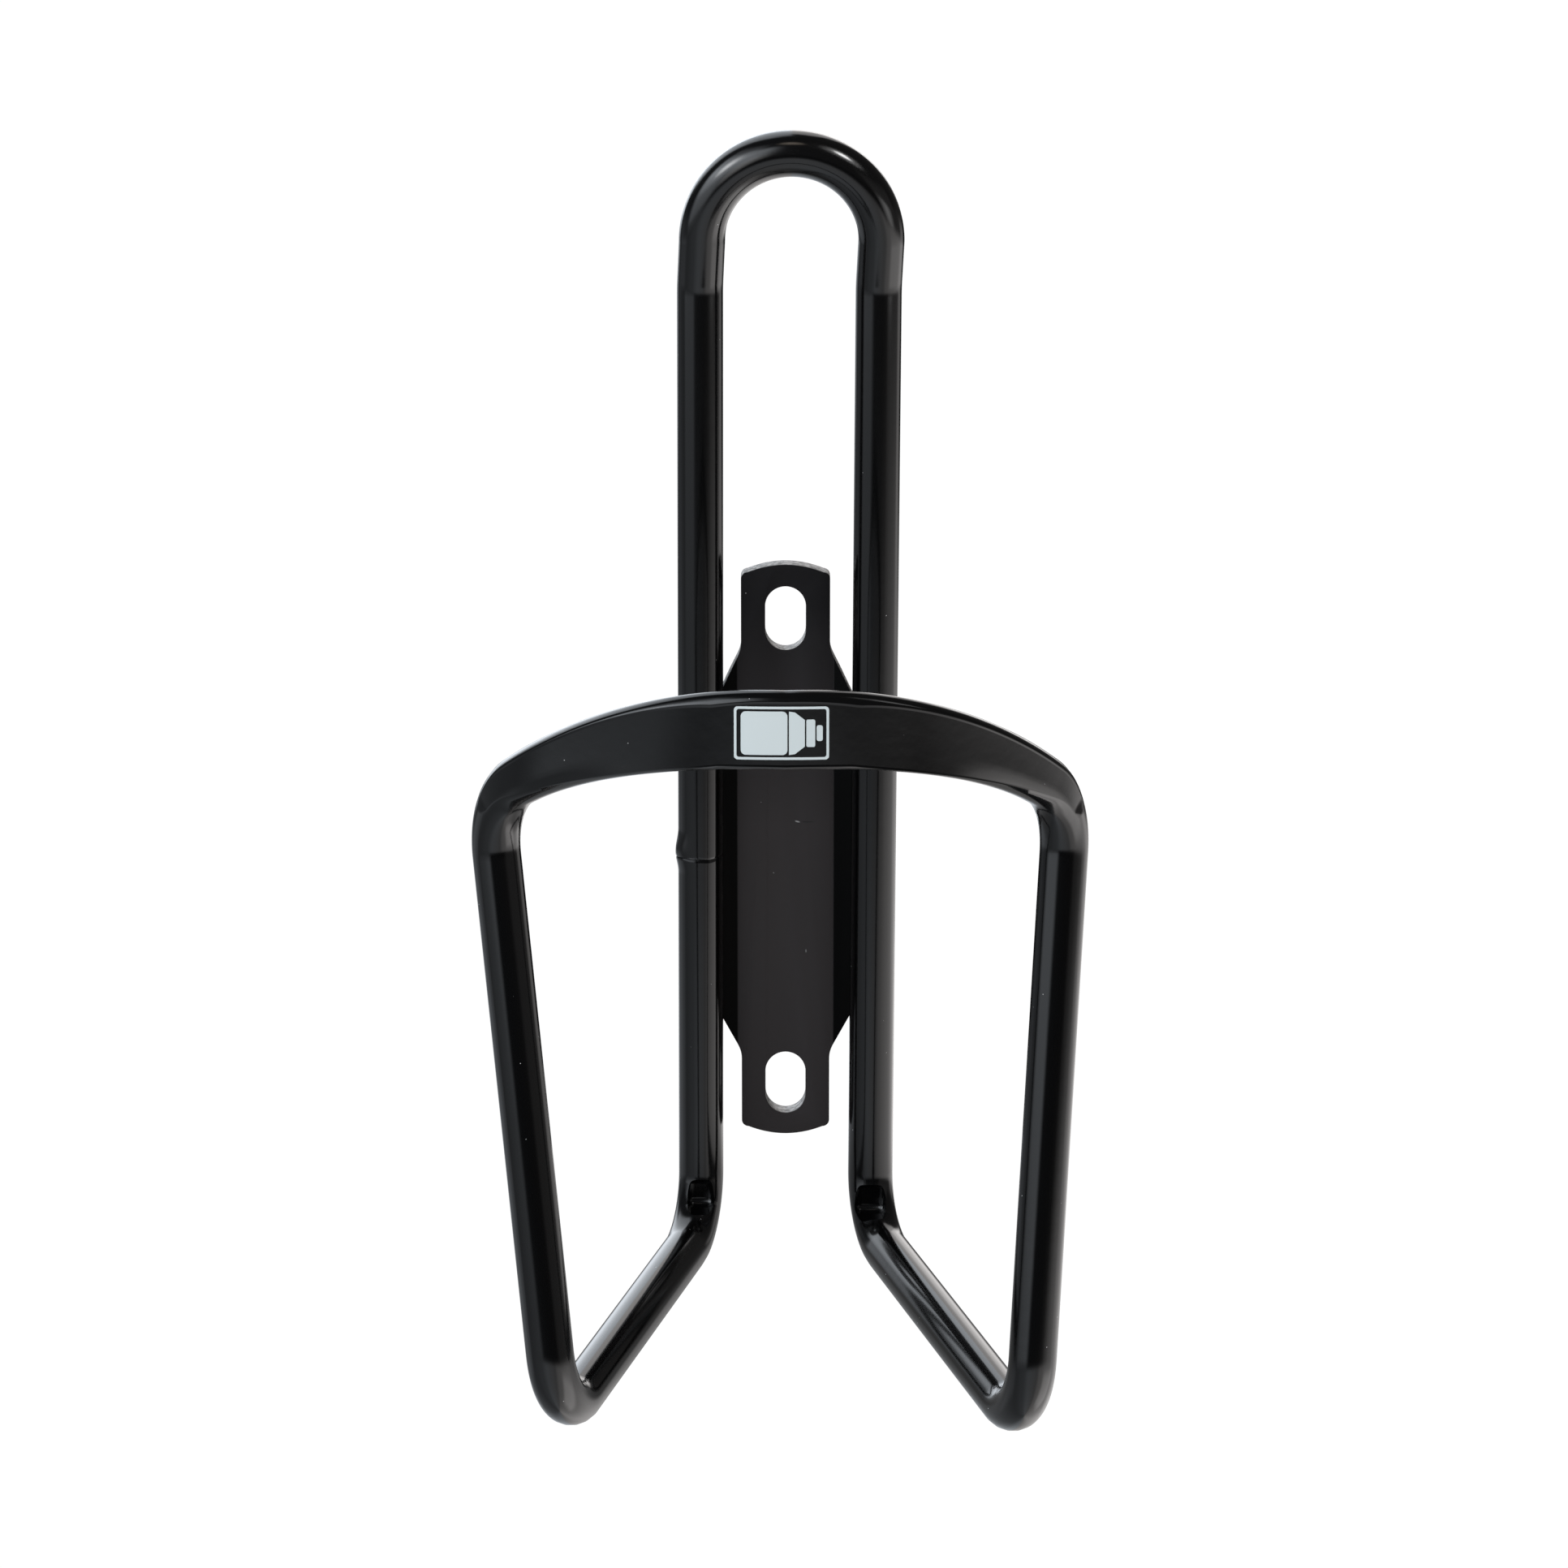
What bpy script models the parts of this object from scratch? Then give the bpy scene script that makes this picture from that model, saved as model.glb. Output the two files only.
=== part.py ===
"""Bent-tube water bottle cage for a bicycle, bolted to the frame through two slotted tabs.

Frame: origin in the middle of the plate's back face, +Z up along the rails, -Y towards the rider's
bottle, so the back face lies on the bicycle's frame tube at y = 0.
"""

import math

import bmesh
import bpy
from mathutils import Vector

# ---- Driving dimensions, in millimetres and degrees ----
BOTTLE_DIAMETER = 73.0
TUBE_DIAMETER = 6.0
TUBE_WALL = 1.0
RAIL_GAP_FOOT = 16.8
RAIL_GAP_TOP = 17.2
RAIL_TOP = 76.6
RAIL_FOOT = -51.7
TONGUE_LENGTH = 6.3
TONGUE_LEAN = 10.0
TOE_ANGLE = 47.5
TOE_HEIGHT = -56.4
SHOULDER_ANGLE = 62.7
SHOULDER_HEIGHT = 21.5
HOOP_FRONT_HEIGHT = 34.9
HOOP_FACE_HEIGHT = 9.5
HOOP_FACE_THICKNESS = 2.5
TONGUE_SHIFT = 0.5
TONGUE_TILT = 0.3
HOOP_SHIFT = -0.8
TOE_SHIFT = 0.9
TOE_TILT = 0.45
HOOP_CROWN = 0.4
TONGUE_BEND = 10.0
FOOT_BEND = 9.0
TOE_BEND = 8.0
SHOULDER_BEND = 10.0
BOLT_SPACING = 64.0
SLOT_WIDTH = 5.4
SLOT_LENGTH = 8.6
PLATE_THICKNESS = 3.2
PLATE_WEB_WIDTH = 12.8
TAB_WIDTH = 11.8
TAB_MARGIN = 7.2
FLANGE_HALF_HEIGHT = 22.5
FLANGE_TAPER = 5.2
FLANGE_SHORT = 1.6
TAB_CROWN = 1.4
TAB_CORNER = 0.9
RAIL_SETBACK = 3.1
SEAM_HEIGHT = 0.6
SEAM_GAP = 1.2
SPIGOT_LENGTH = 16.0
WELD_LENGTH = 9.0
WELD_RADIUS = 0.8
WELD_FROM_END = 1.0
DECAL_WIDTH = 11.2
DECAL_HEIGHT = 6.4
DECAL_THICKNESS = 0.2
DECAL_SHIFT = -0.5

# ---- Clearances that keep neighbours apart ----
FIT_GAP = 0.3

# ---- Sizes that follow from the ones above ----
TUBE_RADIUS = TUBE_DIAMETER / 2
BORE_RADIUS = TUBE_RADIUS - TUBE_WALL
HUG_RADIUS = BOTTLE_DIAMETER / 2 + TUBE_RADIUS
RAIL_X_FOOT = RAIL_GAP_FOOT / 2 + TUBE_RADIUS
RAIL_X_TOP = RAIL_GAP_TOP / 2 + TUBE_RADIUS
RAIL_Y = -(PLATE_THICKNESS + RAIL_SETBACK)
BOTTLE_Y = RAIL_Y - math.sqrt(HUG_RADIUS**2 - RAIL_X_FOOT**2)
HOOP_FRONT_RADIUS = BOTTLE_DIAMETER / 2 + HOOP_FACE_THICKNESS / 2
PLATE_HALF_HEIGHT = BOLT_SPACING / 2 + TAB_MARGIN

# ---- Smoothness ----
TUBE_SIDES = 18
BEND_STEPS = 7
ARCH_STEPS = 16
HOOP_STEPS = 14

MM = 0.001


def clear_scene():
    for obj in list(bpy.data.objects):
        bpy.data.objects.remove(obj)


def collection(name, hidden=False):
    group = bpy.data.collections.new(name)
    bpy.context.scene.collection.children.link(group)
    group.hide_render = hidden
    return group


def material(name, colour, roughness, metallic):
    made = bpy.data.materials.new(name)
    made.use_nodes = True
    shader = made.node_tree.nodes["Principled BSDF"]
    shader.inputs["Base Color"].default_value = (*colour, 1.0)
    shader.inputs["Roughness"].default_value = roughness
    shader.inputs["Metallic"].default_value = metallic
    made.diffuse_color = (*colour, 1.0)
    return made


def mesh_object(name, group, bm, paint=None):
    """Turns the bmesh from millimetres into metres and makes it an object."""
    bmesh.ops.scale(bm, vec=(MM, MM, MM), verts=bm.verts)
    bmesh.ops.recalc_face_normals(bm, faces=bm.faces)
    data = bpy.data.meshes.new(name)
    bm.to_mesh(data)
    bm.free()
    obj = bpy.data.objects.new(name, data)
    group.objects.link(obj)
    if paint is not None:
        data.materials.append(paint)
    return obj


def cutter(name, group, bm):
    obj = mesh_object(name, group, bm)
    obj.hide_render = True
    obj.display_type = "WIRE"
    return obj


def cut(obj, tool, operation="DIFFERENCE"):
    modifier = obj.modifiers.new(tool.name, "BOOLEAN")
    modifier.operation = operation
    modifier.solver = "EXACT"
    modifier.object = tool


# ---- The tube's centreline ----
def around_bottle(angle, height, radius):
    """A point beside the bottle; the angle is measured from straight ahead."""
    turn = math.radians(angle)
    return Vector((radius * math.sin(turn), BOTTLE_Y - radius * math.cos(turn), height))


def rail_foot(side):
    return Vector((side * RAIL_X_FOOT, RAIL_Y, RAIL_FOOT))


def rail_top(side):
    return Vector((side * RAIL_X_TOP + TONGUE_SHIFT, RAIL_Y, RAIL_TOP))


def rail_point(side, height):
    along = (height - RAIL_FOOT) / (RAIL_TOP - RAIL_FOOT)
    return rail_foot(side).lerp(rail_top(side), along)


def tongue_up():
    lean = math.radians(TONGUE_LEAN)
    return Vector((0.0, -math.sin(lean), math.cos(lean)))


def arch_points(side):
    """From the tongue's straight end, over the top, to the middle of the arch."""
    centre = Vector((TONGUE_SHIFT + TONGUE_TILT, RAIL_Y, RAIL_TOP)) + tongue_up() * TONGUE_LENGTH
    out = Vector((side * RAIL_X_TOP, 0.0, 0.0))
    up = tongue_up() * RAIL_X_TOP
    turns = [math.pi / 2 * n / ARCH_STEPS for n in range(ARCH_STEPS + 1)]
    return [centre + out * math.cos(a) + up * math.sin(a) for a in turns]


def hoop_share(angle):
    """0 at the shoulder, 1 at the middle of the front."""
    return 1.0 - angle / SHOULDER_ANGLE


def hoop_point(side, angle):
    share = hoop_share(angle)
    eased = share * share * (3 - 2 * share)
    radius = HUG_RADIUS + (HOOP_FRONT_RADIUS - HUG_RADIUS) * eased
    shoulder = around_bottle(SHOULDER_ANGLE, 0.0, HUG_RADIUS)
    point = around_bottle(angle, 0.0, radius)
    front = BOTTLE_Y - HOOP_FRONT_RADIUS
    climb = (point.y - shoulder.y) / (front - shoulder.y)
    point.z = SHOULDER_HEIGHT + (HOOP_FRONT_HEIGHT - SHOULDER_HEIGHT) * climb
    point.z += HOOP_CROWN * math.sin(math.pi * share)
    point.x = side * point.x + HOOP_SHIFT * (1 - share) ** 2
    return point


def bezier(first, leave, arrive, last, steps):
    """Points of a cubic curve, both ends included."""
    points = []
    for n in range(steps + 1):
        t = n / steps
        s = 1 - t
        points.append(first * s**3 + leave * (3 * s * s * t) + arrive * (3 * s * t * t) + last * t**3)
    return points


def rounded(corner, towards_first, towards_last, radius):
    """An arc of the given radius that rounds a corner between two straight runs."""
    a = (towards_first - corner).normalized()
    b = (towards_last - corner).normalized()
    turn = math.pi - a.angle(b)
    reach = radius * math.tan(turn / 2)
    handle = 4 / 3 * math.tan(turn / 4) * radius
    first = corner + a * reach
    last = corner + b * reach
    return bezier(first, first - a * handle, last - b * handle, last, BEND_STEPS)


def shoulder_bend(side):
    """Joins the straight leg to the curved hoop; returns its points and the hoop angle it ends at."""
    corner = hoop_point(side, SHOULDER_ANGLE)
    toe = toe_corner(side)
    leg = (toe - corner).normalized()
    hoop = (hoop_point(side, SHOULDER_ANGLE - 1) - corner).normalized()
    turn = math.pi - leg.angle(hoop)
    reach = SHOULDER_BEND * math.tan(turn / 2)
    handle = 4 / 3 * math.tan(turn / 4) * SHOULDER_BEND
    end_angle = SHOULDER_ANGLE - math.degrees(reach / HUG_RADIUS)
    last = hoop_point(side, end_angle)
    onward = (hoop_point(side, end_angle - 1) - last).normalized()
    first = corner + leg * reach
    points = bezier(first, first - leg * handle, last - onward * handle, last, BEND_STEPS + 2)
    return points, end_angle


def toe_corner(side):
    point = around_bottle(TOE_ANGLE, TOE_HEIGHT - side * TOE_TILT, HUG_RADIUS)
    point.x = side * point.x + TOE_SHIFT
    return point


def spaced(first, last, count):
    """Evenly spaced points strictly between two others."""
    return [first.lerp(last, n / (count + 1)) for n in range(1, count + 1)]


def lower_half(side):
    """From the foot bend to the middle of the hoop's front, without that middle point."""
    foot = rounded(rail_foot(side), rail_top(side), toe_corner(side), FOOT_BEND)
    toe = rounded(toe_corner(side), rail_foot(side), hoop_point(side, SHOULDER_ANGLE), TOE_BEND)
    shoulder, angle = shoulder_bend(side)
    hoop = [hoop_point(side, angle * (1 - n / HOOP_STEPS)) for n in range(1, HOOP_STEPS)]
    return foot + spaced(foot[-1], toe[0], 2) + toe + spaced(toe[-1], shoulder[0], 2) + shoulder + hoop


def upper_half(side):
    """From above the rail's tongue bend to the top of the arch, without the top point."""
    arch = arch_points(side)
    bend = rounded(rail_top(side), rail_foot(side), arch[0], TONGUE_BEND)
    return bend + arch[:-1]


def centreline():
    """The whole tube, from just above the seam over the arch and round to just below it."""
    start = rail_point(-1, SEAM_HEIGHT + SEAM_GAP / 2)
    end = rail_point(-1, SEAM_HEIGHT - SEAM_GAP / 2)
    points = [start]
    points += spaced(start, upper_half(-1)[0], 2)
    points += upper_half(-1)
    points += arch_points(1)[::-1][:1]
    points += upper_half(1)[::-1]
    points += spaced(upper_half(1)[0], lower_half(1)[0], 4)
    points += lower_half(1)
    points += [hoop_point(1, 0.0)]
    points += lower_half(-1)[::-1]
    points += spaced(lower_half(-1)[0], end, 2)
    points.append(end)
    return points


# ---- The tube's section ----
def flatness(point):
    """0 where the tube is round, rising to 1 at the middle of the hoop's front."""
    if point.z < SHOULDER_HEIGHT or point.y > hoop_point(1, SHOULDER_ANGLE).y:
        return 0.0
    angle = math.degrees(math.atan2(abs(point.x), BOTTLE_Y - point.y))
    share = min(max(hoop_share(angle) / 0.92, 0.0), 1.0)
    return share * share * (3 - 2 * share)


def section(sides, radius, inset, flat):
    """Outline across the tube as (outwards, upwards) pairs, from round to a flattened band."""
    half_thick = radius + (HOOP_FACE_THICKNESS / 2 - inset - radius) * flat
    half_high = radius + (HOOP_FACE_HEIGHT / 2 - inset - radius) * flat
    power = 2.0 / (2.0 + 1.6 * flat)
    outline = []
    for n in range(sides):
        turn = 2 * math.pi * n / sides
        c = math.cos(turn)
        s = math.sin(turn)
        out = math.copysign(abs(c) ** power, c) * half_thick
        up = math.copysign(abs(s) ** power, s) * half_high
        outline.append((out, up))
    return outline


def outward_at(point, along):
    """Direction across the tube that points away from the bottle."""
    axis = Vector((0.0, BOTTLE_Y, point.z))
    away = point - axis
    away -= along * away.dot(along)
    return away.normalized()


def tube_frames(points):
    """Tangent, outward and upward directions carried along the centreline without twisting."""
    count = len(points)
    tangents = []
    for n in range(count):
        before = points[max(n - 1, 0)]
        after = points[min(n + 1, count - 1)]
        tangents.append((after - before).normalized())
    frames = []
    out = outward_at(points[0], tangents[0])
    for n in range(count):
        along = tangents[n]
        if flatness(points[n]) > 0:
            out = outward_at(points[n], along)
        else:
            out = (out - along * out.dot(along)).normalized()
        frames.append((out, along.cross(out)))
    return frames


def tube_rings(bm, points, frames, radius, inset):
    """One ring of wall corners at each point of the centreline."""
    rings = []
    for point, (out, up) in zip(points, frames):
        outline = section(TUBE_SIDES, radius, inset, flatness(point))
        rings.append([bm.verts.new(point + out * a + up * b) for a, b in outline])
    return rings


def nearest_turn(ring, following):
    """How many corners to turn the following ring by so that it lines up with this one."""
    sides = len(ring)

    def spread(shift):
        return sum((ring[n].co - following[(n + shift) % sides].co).length for n in range(sides))

    return min(range(sides), key=spread)


def skin(bm, outer, inner):
    """Walls between neighbouring rings, outside and in the bore, and a flat rim at each end."""
    for n in range(1, len(outer)):
        shift = nearest_turn(outer[n - 1], outer[n])
        outer[n] = outer[n][shift:] + outer[n][:shift]
        inner[n] = inner[n][shift:] + inner[n][:shift]
    for k in range(TUBE_SIDES):
        m = (k + 1) % TUBE_SIDES
        for n in range(1, len(outer)):
            bm.faces.new((outer[n - 1][k], outer[n - 1][m], outer[n][m], outer[n][k]))
            bm.faces.new((inner[n - 1][m], inner[n - 1][k], inner[n][k], inner[n][m]))
        bm.faces.new((outer[0][m], outer[0][k], inner[0][k], inner[0][m]))
        bm.faces.new((outer[-1][k], outer[-1][m], inner[-1][m], inner[-1][k]))


def cage_tube(group, paint):
    bm = bmesh.new()
    points = centreline()
    frames = tube_frames(points)
    outer = tube_rings(bm, points, frames, TUBE_RADIUS, 0.0)
    inner = tube_rings(bm, points, frames, BORE_RADIUS, TUBE_WALL)
    skin(bm, outer, inner)
    return mesh_object("cage_tube", group, bm, paint)


# ---- Round pieces on the rails ----
def turned(profile, middle, along, sides):
    """A solid turned about an axis; the profile lists (along, radius) pairs and may be a ring."""
    bm = bmesh.new()
    side = along.orthogonal().normalized()
    other = along.cross(side)
    rings = []
    for position, radius in profile:
        if radius == 0.0:
            rings.append([bm.verts.new(middle + along * position)])
            continue
        ring = []
        for n in range(sides):
            turn = 2 * math.pi * n / sides
            spoke = side * math.cos(turn) + other * math.sin(turn)
            ring.append(bm.verts.new(middle + along * position + spoke * radius))
        rings.append(ring)
    return bm, rings


def close_ring_pairs(bm, rings, loop):
    pairs = list(zip(rings, rings[1:]))
    if loop:
        pairs.append((rings[-1], rings[0]))
    for first, last in pairs:
        sides = max(len(first), len(last))
        for n in range(sides):
            m = (n + 1) % sides
            if len(first) == 1:
                bm.faces.new((first[0], last[n], last[m]))
            elif len(last) == 1:
                bm.faces.new((first[m], first[n], last[0]))
            else:
                bm.faces.new((first[m], first[n], last[n], last[m]))


def rail_direction(side):
    return (rail_top(side) - rail_foot(side)).normalized()


def joint_spigot(group, paint):
    half = SPIGOT_LENGTH / 2
    radius = BORE_RADIUS - FIT_GAP
    profile = [(-half, 0.0), (-half, radius - 0.4), (0.4 - half, radius)]
    profile += [(half - 0.4, radius), (half, radius - 0.4), (half, 0.0)]
    bm, rings = turned(profile, rail_point(-1, SEAM_HEIGHT), rail_direction(-1), 20)
    close_ring_pairs(bm, rings, False)
    return mesh_object("joint_spigot", group, bm, paint)


def butt_weld(group, paint):
    """The ring of weld metal that fills the seam, dressed flush with the tube."""
    half = SEAM_GAP / 2 - FIT_GAP
    profile = [(-half, BORE_RADIUS), (half, BORE_RADIUS), (half, TUBE_RADIUS), (-half, TUBE_RADIUS)]
    bm, rings = turned(profile, rail_point(-1, SEAM_HEIGHT), rail_direction(-1), 28)
    close_ring_pairs(bm, rings, True)
    return mesh_object("butt_weld", group, bm, paint)


# ---- The mounting plate ----
def rail_x(height):
    """Distance of a rail's centreline from the middle plane at this height, left and right alike."""
    return (abs(rail_point(-1, height).x) + rail_point(1, height).x) / 2


def flange_edge():
    """How far out the flanges stop: behind the rail, short of its centre, to leave room for a weld."""
    return rail_x(0.0) - FLANGE_SHORT


def flange_slope():
    """The flanges point straight at the rails' centrelines."""
    return math.atan2(RAIL_SETBACK, rail_x(0.0) - PLATE_WEB_WIDTH / 2)


def flange_back(x):
    """Position of the flange's rear surface at distance x from the middle plane."""
    slope = flange_slope()
    front = -PLATE_THICKNESS - (x - PLATE_WEB_WIDTH / 2) * math.tan(slope)
    return front + PLATE_THICKNESS / math.cos(slope)


def extruded(outline, axis, low, high):
    """A prism over a closed outline; axis says which way it runs."""
    bm = bmesh.new()

    def place(a, b, depth):
        return Vector((a, b, depth)) if axis == "z" else Vector((a, depth, b))

    bottom = [bm.verts.new(place(a, b, low)) for a, b in outline]
    top = [bm.verts.new(place(a, b, high)) for a, b in outline]
    bm.faces.new(bottom)
    bm.faces.new(top[::-1])
    for n in range(len(outline)):
        m = (n + 1) % len(outline)
        bm.faces.new((bottom[n], top[n], top[m], bottom[m]))
    return bm


def folded_blank(group, paint):
    """The folded strip, taller than the plate, before its outline is cut."""
    fold = PLATE_WEB_WIDTH / 2
    edge = flange_edge()
    slope = flange_slope()
    front_edge = -PLATE_THICKNESS - (edge - fold) * math.tan(slope)
    back_fold = fold + PLATE_THICKNESS * math.tan(slope / 2)
    right = [(fold, -PLATE_THICKNESS), (edge, front_edge), (edge, flange_back(edge)), (back_fold, 0.0)]
    left = [(-x, y) for x, y in right][::-1]
    reach = PLATE_HALF_HEIGHT + 2
    return mesh_object("mounting_plate", group, extruded(right + left, "z", -reach, reach), paint)


def shoulder_drop(x):
    """How far the sloping shoulder has fallen at distance x from the middle plane."""
    tab = TAB_WIDTH / 2
    rail_side = rail_x(0.0) - TUBE_RADIUS
    return FLANGE_TAPER * (x - tab) / (rail_side - tab)


def tab_corner(low):
    """The rounded corner between a tab's straight side and its crowned end."""
    tab = TAB_WIDTH / 2
    points = []
    for n in range(6):
        turn = math.pi / 2 * n / 5
        x = tab - TAB_CORNER + TAB_CORNER * math.cos(turn)
        points.append((x, low + TAB_CORNER * math.sin(turn)))
    return points


def plate_outline():
    """Seen from the front: narrow slotted tabs, sloping shoulders and the wide middle."""
    tab = TAB_WIDTH / 2
    wide = flange_edge() + 1.0
    start = FLANGE_HALF_HEIGHT + FLANGE_TAPER
    blend = 0.4
    quarter = [(wide, start - shoulder_drop(wide)), (tab + blend, start - shoulder_drop(tab + blend))]
    quarter += [(tab + blend / 4, start), (tab, start + 2 * blend)]
    end = tab - TAB_CORNER
    crown_end = PLATE_HALF_HEIGHT - TAB_CROWN * (end / tab) ** 2
    quarter += tab_corner(crown_end - TAB_CORNER)
    for n in range(1, 9):
        x = end * (1 - n / 8)
        quarter.append((x, PLATE_HALF_HEIGHT - TAB_CROWN * (x / tab) ** 2))
    upper = quarter + [(-x, z) for x, z in quarter[:-1]][::-1]
    lower = [(x, -z) for x, z in upper][::-1]
    return upper + lower


def slot_outline(height):
    """A slot with round ends, its straight sides upright."""
    radius = SLOT_WIDTH / 2
    straight = (SLOT_LENGTH - SLOT_WIDTH) / 2
    outline = []
    for centre, start in ((height + straight, 0.0), (height - straight, math.pi)):
        for n in range(13):
            turn = start + math.pi * n / 12
            outline.append((radius * math.cos(turn), centre + radius * math.sin(turn)))
    return outline


def rail_cutter(name, side, cutters):
    """The rail with clearance all round, to trim the flanges with."""
    reach = PLATE_HALF_HEIGHT + 10
    radius = TUBE_RADIUS + FIT_GAP
    profile = [(-reach, 0.0), (-reach, radius), (reach, radius), (reach, 0.0)]
    bm, rings = turned(profile, rail_point(side, 0.0), rail_direction(side), 40)
    close_ring_pairs(bm, rings, False)
    return cutter(name, cutters, bm)


def mounting_plate(group, cutters, paint):
    plate = folded_blank(group, paint)
    outline = cutter("plate_outline", cutters, extruded(plate_outline(), "y", -30.0, 10.0))
    cut(plate, outline, "INTERSECT")
    for name, height in (("slot_upper", BOLT_SPACING / 2), ("slot_lower", -BOLT_SPACING / 2)):
        cut(plate, cutter(name, cutters, extruded(slot_outline(height), "y", -30.0, 10.0)))
    for name, side in (("rail_left", -1), ("rail_right", 1)):
        cut(plate, rail_cutter(name, side, cutters))
    return plate


# ---- The plate's welds ----
def weld_centre(side, height):
    """Centre of a bead that fills the corner between the flange's edge and the rail's back."""
    rail = rail_point(side, height)
    x = side * (flange_edge() + FIT_GAP + WELD_RADIUS)
    away = TUBE_RADIUS + FIT_GAP + WELD_RADIUS
    return Vector((x, rail.y + math.sqrt(away**2 - (rail.x - x) ** 2), height))


def plate_weld(name, side, sign, group, paint):
    """A straight bead with rounded ends, along the rail."""
    middle = sign * (FLANGE_HALF_HEIGHT - FLANGE_SHORT - WELD_FROM_END - WELD_LENGTH / 2)
    half = WELD_LENGTH / 2
    low = weld_centre(side, middle - half)
    high = weld_centre(side, middle + half)
    ends = [(-half, 0.0)]
    for n in range(1, 7):
        turn = math.pi / 2 * n / 6
        ends.append((-half + WELD_RADIUS * (1 - math.cos(turn)), WELD_RADIUS * math.sin(turn)))
    profile = ends + [(-position, radius) for position, radius in ends[::-1]]
    bm, rings = turned(profile, (low + high) / 2, (high - low).normalized(), 16)
    close_ring_pairs(bm, rings, False)
    return mesh_object(name, group, bm, paint)


# ---- The badge on the hoop ----
def front_decal(group, paint):
    """A thin label that follows the hoop's flat front."""
    bm = bmesh.new()
    face = HOOP_FRONT_RADIUS + HOOP_FACE_THICKNESS / 2
    half = math.degrees(DECAL_WIDTH / 2 / face)
    middle = math.degrees(DECAL_SHIFT / face)
    near = face + FIT_GAP
    far = near + DECAL_THICKNESS
    low = HOOP_FRONT_HEIGHT - DECAL_HEIGHT / 2
    high = HOOP_FRONT_HEIGHT + DECAL_HEIGHT / 2
    rings = []
    for n in range(-6, 7):
        angle = middle + half * n / 6
        corners = [(low, near), (low, far), (high, far), (high, near)]
        rings.append([bm.verts.new(around_bottle(angle, height, radius)) for height, radius in corners])
    for first, last in zip(rings, rings[1:]):
        for k in range(4):
            m = (k + 1) % 4
            bm.faces.new((first[k], first[m], last[m], last[k]))
    bm.faces.new(rings[0][::-1])
    bm.faces.new(rings[-1])
    return mesh_object("front_decal", group, bm, paint)


def main():
    clear_scene()
    group = collection("bottle_cage")
    cutters = collection("cutters", hidden=True)
    paint = material("gloss_black_paint", (0.012, 0.012, 0.013), 0.22, 0.0)
    satin = material("satin_black_paint", (0.018, 0.018, 0.019), 0.38, 0.0)
    white = material("pale_print", (0.62, 0.7, 0.72), 0.4, 0.0)
    bare = material("bare_aluminium", (0.62, 0.63, 0.65), 0.35, 1.0)
    cage_tube(group, paint)
    joint_spigot(group, bare)
    butt_weld(group, paint)
    mounting_plate(group, cutters, satin)
    for sign, level in ((1, "upper"), (-1, "lower")):
        for side, hand in ((-1, "left"), (1, "right")):
            plate_weld(f"plate_weld_{level}_{hand}", side, sign, group, paint)
    front_decal(group, white)


main()
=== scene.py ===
import math

import bmesh
import bpy
from mathutils import Matrix, Vector


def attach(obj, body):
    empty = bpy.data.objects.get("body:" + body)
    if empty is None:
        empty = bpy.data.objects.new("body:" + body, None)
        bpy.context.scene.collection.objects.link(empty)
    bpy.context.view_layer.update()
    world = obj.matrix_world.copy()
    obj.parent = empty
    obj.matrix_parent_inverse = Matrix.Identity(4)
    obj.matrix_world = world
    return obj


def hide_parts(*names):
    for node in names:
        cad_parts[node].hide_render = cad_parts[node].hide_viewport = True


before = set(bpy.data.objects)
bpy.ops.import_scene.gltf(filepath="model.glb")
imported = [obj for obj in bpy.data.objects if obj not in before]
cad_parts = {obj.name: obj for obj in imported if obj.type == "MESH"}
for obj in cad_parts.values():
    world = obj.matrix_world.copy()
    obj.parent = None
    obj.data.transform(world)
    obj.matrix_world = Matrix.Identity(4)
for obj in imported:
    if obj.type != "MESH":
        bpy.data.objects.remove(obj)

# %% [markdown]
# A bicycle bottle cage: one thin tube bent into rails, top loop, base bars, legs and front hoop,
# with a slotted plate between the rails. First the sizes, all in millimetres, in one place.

MM = 0.001
BOTTLE_RADIUS = 36.5
TUBE_RADIUS = 3.0
HUG_RADIUS = BOTTLE_RADIUS + TUBE_RADIUS
PLATE_THICKNESS = 3.2
RAIL_SETBACK = 3.1
RAIL_X_FOOT = 11.4
RAIL_X_TOP = 11.6
RAIL_Y = -(PLATE_THICKNESS + RAIL_SETBACK)
RAIL_TOP = 76.6
RAIL_FOOT = -51.7
BOTTLE_Y = RAIL_Y - math.sqrt(HUG_RADIUS**2 - RAIL_X_FOOT**2)
TONGUE_LENGTH = 6.3
TONGUE_LEAN = 10.0
TONGUE_SHIFT = 0.5
TONGUE_TILT = 0.3
TONGUE_BEND = 10.0
TOE_ANGLE = 47.5
TOE_HEIGHT = -56.4
TOE_SHIFT = 0.9
TOE_TILT = 0.45
TOE_BEND = 8.0
FOOT_BEND = 9.0
SHOULDER_ANGLE = 62.7
SHOULDER_HEIGHT = 21.5
SHOULDER_BEND = 10.0
HOOP_SHIFT = -0.8
HOOP_CROWN = 0.4
HOOP_HEIGHT = 34.9
HOOP_HALF = 4.75
HOOP_HALF_THICK = 1.25
HOOP_RADIUS = BOTTLE_RADIUS + HOOP_HALF_THICK
SEAM_HEIGHT = 0.6
BOLT_SPACING = 64.0
SLOT_WIDTH = 5.4
SLOT_LENGTH = 8.6
PLATE_HALF_HEIGHT = 39.2
WEB_HALF = 6.4
TAB_HALF = 5.9
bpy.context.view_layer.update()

# %% [markdown]
# The tube's centreline is straight runs joined by bends, and round the front it follows the bottle.
# A bend is a curve whose two handles give an even radius, which is how a tube bender leaves it.

# %% centreline
def around_bottle(angle, height, radius):
    turn = math.radians(angle)
    return Vector((radius * math.sin(turn), BOTTLE_Y - radius * math.cos(turn), height))


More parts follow.
